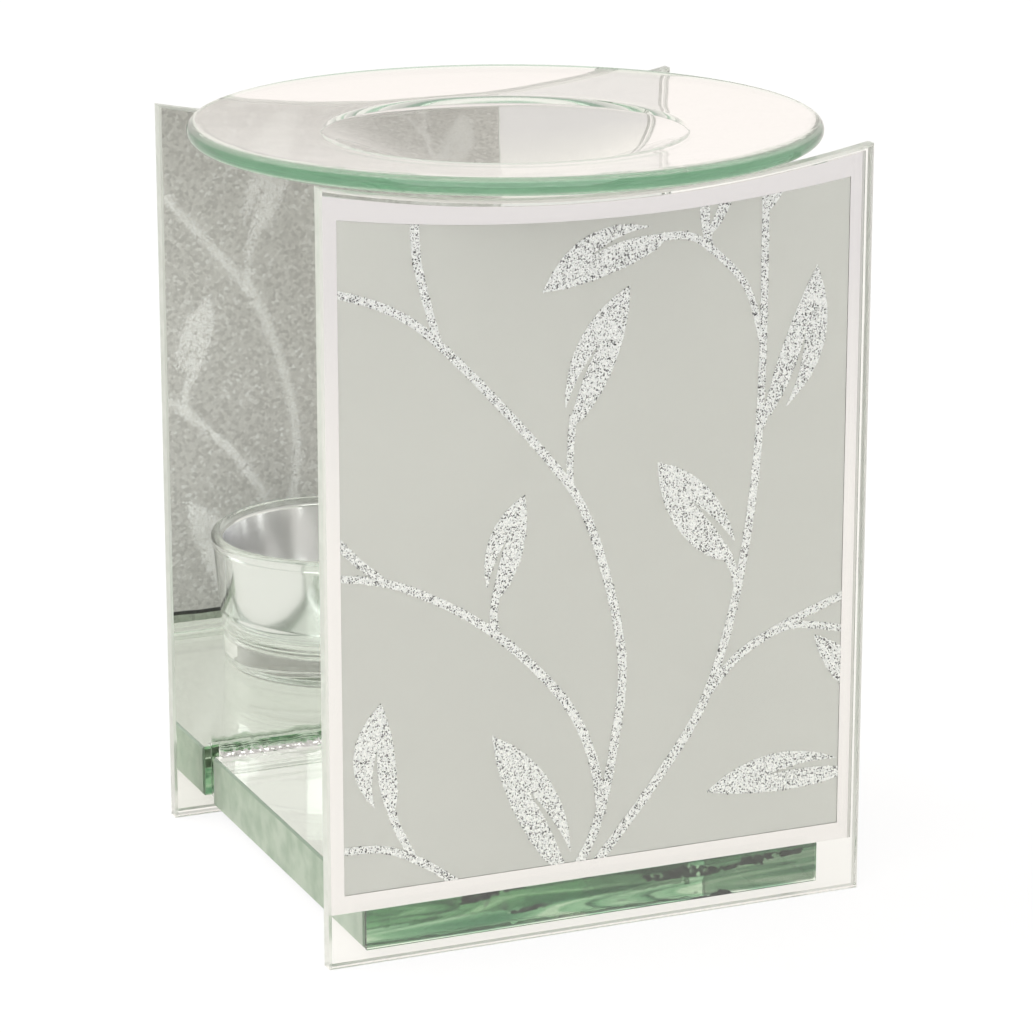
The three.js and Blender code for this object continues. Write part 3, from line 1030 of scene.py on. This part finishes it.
@dataclass
class TealightCup:
    """Pressed-glass cup on a thick foot, with a silver lining in its well. Sizes in millimetres.

    kick is the hollow under the foot, and kick_bend how far out from it each point of its bend lies.
    """

    centre: tuple[float, float] = (0.0, -4.0)
    rim_radius: float = 24.0
    height: float = 25.6
    waist_radius: float = 22.2
    foot_radius: float = 21.9
    foot_height: float = 6.6
    foot_edge: float = 1.2
    groove: float = 0.6
    wall: float = 2.0
    draft: float = 1.4
    floor: float = 6.75
    well_corner: float = 4.0
    kick_radius: float = 16.0
    kick_height: float = 0.6
    kick_bend: tuple[float, float, float] = (0.1, 0.5, 0.6)
    rim_start_deg: float = 10.0
    lining_gap: float = 0.05
    lining_thickness: float = 0.2
    spacing: float = 0.6
    kick_points: int = 5
    lip_points: int = 7
    foot_points: int = 9
    rim_points: int = 17
    steps: int = 192

    def well(self, inset: float) -> np.ndarray:
        """The well's corner and floor down to the axis, drawn in from the glass.

        Args:
            inset: how far in, in millimetres.

        Returns:
            Radius and height, one point a row.
        """
        radius = self.rim_radius - self.wall - self.draft - inset
        floor = self.floor + inset
        ease = self.well_corner
        corner = bend((radius, floor + ease), (radius, floor), (radius - ease, floor), self.rim_points)
        return np.concatenate([corner, [[0, floor]]])

    def lining_profile(self) -> np.ndarray:
        """Section of the lining: out along the well's curve, a gap in from the glass, and back further in.

        Returns:
            Radius and height in metres above the cup's foot, one point a row.
        """
        outside, inside = self.lining_gap, self.lining_gap + self.lining_thickness
        top = self.height - self.wall / 2
        mouth = self.rim_radius - self.wall
        lip = np.array([[mouth - outside, top], [mouth - inside, top]])
        return filled(np.concatenate([self.well(outside)[::-1], lip, self.well(inside)]), self.spacing) * MM

    def profile(self) -> np.ndarray:
        """Section of the cup from the axis below, round the rim, to the axis above.

        Returns:
            Radius and height in metres above the cup's foot, one point a row.
        """
        rim = self.wall / 2
        shoulder = self.height - rim
        ease = self.foot_edge
        kick = [self.kick_radius + out for out in self.kick_bend]
        parts = [
            np.array([[0, self.kick_height], [self.kick_radius, self.kick_height]]),
            bend((kick[0], self.kick_height), (kick[1], self.kick_height), (kick[2], 0), self.kick_points),
            arc((self.foot_radius - ease, ease), ease, -90, 0, self.foot_points),
            bend((self.foot_radius, self.foot_height - self.groove),
                 (self.foot_radius - self.groove, self.foot_height),
                 (self.waist_radius, self.foot_height + self.groove), self.foot_points),
            bend((self.rim_radius - self.groove / 2, shoulder - rim), (self.rim_radius, shoulder - rim),
                 (self.rim_radius, shoulder), self.lip_points),
            arc((self.rim_radius - rim, shoulder), rim, self.rim_start_deg, 180, self.rim_points),
            self.well(0.0),
        ]
        return filled(np.concatenate(parts), self.spacing) * MM

    def build(self, finishes: Finishes) -> None:
        """Turns the cup and its lining, and seats them where their solids stand.

        Args:
            finishes: the burner's finishes.
        """
        lift = np.array([0.0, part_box("tealight_cup")[0].z])
        centre = (self.centre[0] * MM, self.centre[1] * MM)
        cup = turned_piece("glass_cup", self.profile() + lift, centre, self.steps, finishes.pressed_glass)
        seat(cup, Body.CUP, "tealight_cup")
        section = self.lining_profile() + lift
        lining = turned_piece("cup_lining", section, centre, self.steps, finishes.lining)
        seat(lining, Body.CUP, "cup_silvering")


@dataclass
class OilDish:
    """Disc of float glass slumped into a mould, with a round rim. Sizes in millimetres.

    fullness shapes the bowl, and slope is how steeply the flange rises from the lip.
    """

    radius: float = 53.5
    thickness: float = 3.0
    lip_radius: float = 31.0
    well_depth: float = 9.0
    fullness: float = 1.4
    slope: float = 0.09
    bowl_steps: int = 44
    flange_steps: int = 10
    rim_steps: int = 18
    steps: int = 288

    def height(self, radius: np.ndarray) -> np.ndarray:
        """Upper face above the lip: a bowl inside it, and a rising slope outside.

        The bowl is as deep as the well times one less the squared share of the radius, to the power of its
        fullness.

        Args:
            radius: distances from the axis.

        Returns:
            Heights at these distances.
        """
        share = np.minimum(radius / self.lip_radius, 1)
        bowl = -self.well_depth * (1 - share**2) ** self.fullness
        return np.where(radius < self.lip_radius, bowl, self.slope * (radius - self.lip_radius))

    def profile(self) -> np.ndarray:
        """Section of the dish from the axis below, round the rim, to the axis above.

        The lower face lies one thickness below the upper one, square to it, and the rim is half a circle.

        Returns:
            Radius and height in metres above the lip, one point a row.
        """
        tilt = math.atan(self.slope)
        rim = self.thickness / 2
        end = self.radius - rim * (1 + math.sin(tilt))
        bowl = self.lip_radius * np.sin(np.linspace(0, math.pi / 2, self.bowl_steps, endpoint=False))
        radius = np.concatenate([bowl, np.linspace(self.lip_radius, end, self.flange_steps)])
        upper = np.stack([radius, self.height(radius)], axis=-1)
        nudge = 0.01
        rise = (self.height(radius + nudge) - self.height(np.abs(radius - nudge))) / (2 * nudge)
        rise[0] = 0
        stretch = self.thickness / np.hypot(1, rise)
        lower = upper + np.stack([rise * stretch, -stretch], axis=-1)
        middle = (upper[-1] + lower[-1]) / 2
        edge = arc(tuple(middle), rim, math.degrees(tilt) - 90, math.degrees(tilt) + 90, self.rim_steps)
        return np.concatenate([lower, edge[1:-1], upper[::-1]]) * MM

    def build(self, finishes: Finishes) -> None:
        """Turns the dish and seats it where its solid lies.

        Args:
            finishes: the burner's finishes.
        """
        profile = self.profile()
        profile[:, 1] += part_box("oil_dish")[1].z - profile[:, 1].max()
        dish = turned_piece("glass_dish", profile, (0.0, 0.0), self.steps, finishes.slumped_glass)
        seat(dish, Body.DISH, "oil_dish")


@dataclass(frozen=True)
class Lamp:
    """A square soft lamp. Its place and its side are in millimetres, and its power is in watts.

    seen says whether glass and metal show it.
    """

    name: str
    at: Place
    size: float
    power: float
    seen: bool


@dataclass
class Studio:
    """Pale floor, white surroundings, soft lamps and the camera. Places and sizes in millimetres.

    warm is what glass and metal show of the surroundings and of the floor near by, ceiling what they show
    of the room overhead and dusk of the floor well in front. paper is the floor in plain light, and
    glow_share how far it is lifted from that for the camera, glass and metal.
    """

    camera_at: Place = (-268.8, -638.0, 258.0)
    camera_aim: Place = (1.74, -0.73, 61.16)
    lens: float = 145.36
    sensor: float = 36.0
    reach: tuple[float, float] = (10.0, 20000.0)
    lamps: tuple[Lamp, ...] = (
        Lamp("key_lamp", (-500, -1100, 900), 2000, 20.0, seen=True),
        Lamp("side_lamp", (-900, 700, 700), 1300, 16.0, seen=False),
    )
    lamp_aim: Place = (0.0, 0.0, 65.0)
    floor_size: float = 6000.0
    paper: str = "#F7F4F1"
    glow_share: float = 0.86
    warm: str = "#FFFAF5"
    dusk: str = "#E9E4E5"
    dusk_from: float = -260.0
    dusk_to: float = -500.0
    ceiling: str = "#D3D0CD"
    light: str = "#FAF9F7"
    light_strength: float = 0.9
    light_depth: int = 40

    def seen_rays(self, tree: NodeTree) -> Node:
        """Tells the rays that see the studio from plain light.

        Args:
            tree: node tree to add to.

        Returns:
            The node that gives one for a ray from the camera, through glass or off metal, and else zero.
        """
        path = add_node(tree, "LightPath").outputs
        mirrored = add_node(tree, "Math", {
            0: path["Is Glossy Ray"], 1: path["Is Transmission Ray"],
        }, operation="MAXIMUM")
        return add_node(tree, "Math", {0: mirrored, 1: path["Is Camera Ray"]}, operation="MAXIMUM")

    def white(self, tree: NodeTree, mirrored: Feed) -> NodeSocket:
        """Plain white to the camera, and another colour through glass or off metal.

        Args:
            tree: node tree to add to.
            mirrored: what gives that other colour.

        Returns:
            The socket that gives the colour.
        """
        camera = add_node(tree, "LightPath").outputs["Is Camera Ray"]
        return mixed_colour(tree, camera, mirrored, (1.0, 1.0, 1.0, 1.0))

    def surroundings(self) -> None:
        """White to the eye, in glass and in metal, under a greyer ceiling, and plain light elsewhere."""
        world = bpy.data.worlds.new("studio_surroundings")
        world.use_nodes = True
        bpy.context.scene.world = world
        tree = world.node_tree
        tree.nodes.clear()
        light = add_node(tree, "Background", {"Color": linear(self.light), "Strength": self.light_strength})
        way = place_on(tree)
        rise = add_node(tree, "SeparateXYZ", {"Vector": way}).outputs["Z"]
        room = add_node(tree, "ValToRGB", {"Fac": rise}, ((0.35, self.warm), (0.8, self.ceiling)))
        seen = add_node(tree, "Background", {"Color": self.white(tree, room), "Strength": 1.0})
        both = add_node(tree, "MixShader", {0: self.seen_rays(tree), 1: light, 2: seen})
        add_node(tree, "OutputWorld", {"Surface": both})

    def floor(self) -> None:
        """A wide pale sheet that keeps the object's shadow and runs out white.

        What glass and metal show of it turns from warm to dusk between two places in front of the burner.
        """
        half = self.floor_size / 2 * MM
        points = np.array([[-half, -half, 0], [half, -half, 0], [half, half, 0], [-half, half, 0]])
        material, tree = empty_tree("pale_floor")
        paper = add_node(tree, "BsdfDiffuse", {"Color": linear(self.paper)})
        place = place_on(tree)
        away = add_node(tree, "SeparateXYZ", {"Vector": place}).outputs["Y"]
        share = add_node(tree, "MapRange", {
            "Value": away, "From Min": self.dusk_from * MM, "From Max": self.dusk_to * MM,
        })
        ahead = add_node(tree, "ValToRGB", {"Fac": share}, ((0.0, self.warm), (1.0, self.dusk)))
        glow = add_node(tree, "Emission", {"Color": self.white(tree, ahead), "Strength": 1.0})
        lifted = add_node(tree, "MixShader", {0: self.glow_share, 1: paper, 2: glow})
        both = add_node(tree, "MixShader", {0: self.seen_rays(tree), 1: paper, 2: lifted})
        add_node(tree, "OutputMaterial", {"Surface": both})
        mesh_piece("studio_floor", points, [[0, 1, 2, 3]], material, smooth=False)

    def aimed(self, data: ID, at: Place, aim: Place) -> Object:
        """Hangs a lamp or the camera at a place, looking at another.

        Args:
            data: the lamp's or camera's own data, which also gives the name.
            at: where it hangs.
            aim: what it looks at.

        Returns:
            The new object.
        """
        hung = bpy.data.objects.new(data.name, data)
        hung.location = Vector(at) * MM
        way = (Vector(aim) - Vector(at)) * MM
        hung.rotation_euler = way.to_track_quat("-Z", "Y").to_euler()
        bpy.context.scene.collection.objects.link(hung)
        return hung

    def light_up(self) -> None:
        """Hangs the lamps, which look at the middle of the burner."""
        for lamp in self.lamps:
            data = bpy.data.lights.new(lamp.name, "AREA")
            data.size = lamp.size * MM
            data.energy = lamp.power
            hung = self.aimed(data, lamp.at, self.lamp_aim)
            hung.visible_glossy = hung.visible_transmission = lamp.seen

    def camera(self) -> None:
        """The camera at the photograph's angle and distance."""
        data = bpy.data.cameras.new("studio_camera")
        data.lens, data.sensor_width = self.lens, self.sensor
        data.clip_start, data.clip_end = self.reach[0] * MM, self.reach[1] * MM
        bpy.context.scene.camera = self.aimed(data, self.camera_at, self.camera_aim)

    def depth(self) -> None:
        """Lets light cross as many faces as the panes, plate and adhesive have between them."""
        cycles = bpy.context.scene.cycles
        cycles.max_bounces = self.light_depth
        cycles.transmission_bounces = self.light_depth
        cycles.glossy_bounces = self.light_depth

    def build(self) -> None:
        """Sets up the whole studio."""
        self.surroundings()
        self.floor()
        self.light_up()
        self.camera()
        self.depth()
        bpy.context.scene.view_settings.view_transform = "Standard"


def main() -> None:
    """Builds the studio and the burner."""
    logging.basicConfig(level=logging.INFO, format="%(name)s: %(message)s")
    Studio().build()
    finishes = Finishes.make()
    for part in (FrontPanel(), BackPanel(), Base(), TealightCup(), OilDish()):
        part.build(finishes)
        LOG.info("%s done", type(part).__name__)
    bpy.context.view_layer.update()


if __name__ == "__main__":
    main()
